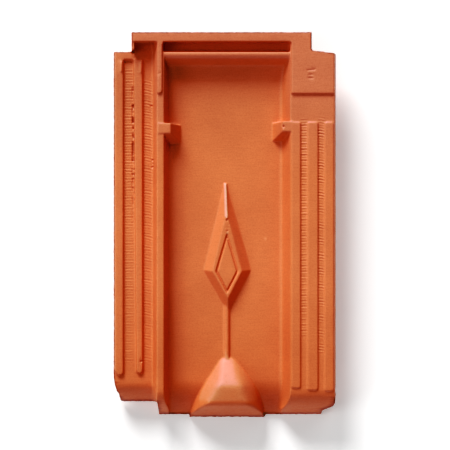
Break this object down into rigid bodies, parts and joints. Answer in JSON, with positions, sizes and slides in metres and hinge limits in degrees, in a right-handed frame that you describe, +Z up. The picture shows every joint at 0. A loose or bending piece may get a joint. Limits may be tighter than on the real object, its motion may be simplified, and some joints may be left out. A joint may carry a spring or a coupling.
{
  "type": "clay roof tile",
  "caption": "Pressed interlocking clay roof tile with ribbed water channels, a deep pan with a lozenge, stem and flared nose, a ribbed cover and batten lugs.",
  "frame": {"origin": "under the middle of the tile's bounding box, on the surface that it rests on", "axes": "+Y along the tile to its head, -Y to the foot with the nose, +X to the cover side, -X to the water channels, +Z up, out of the weather face"},
  "size_m": [0.2308, 0.4, 0.0464],
  "materials": {
    "terracotta": "unglazed, matt, with a fine sandy grain"
  },
  "bodies": {
    "root": {"clay_tile": "terracotta"}
  },
  "joints": []
}
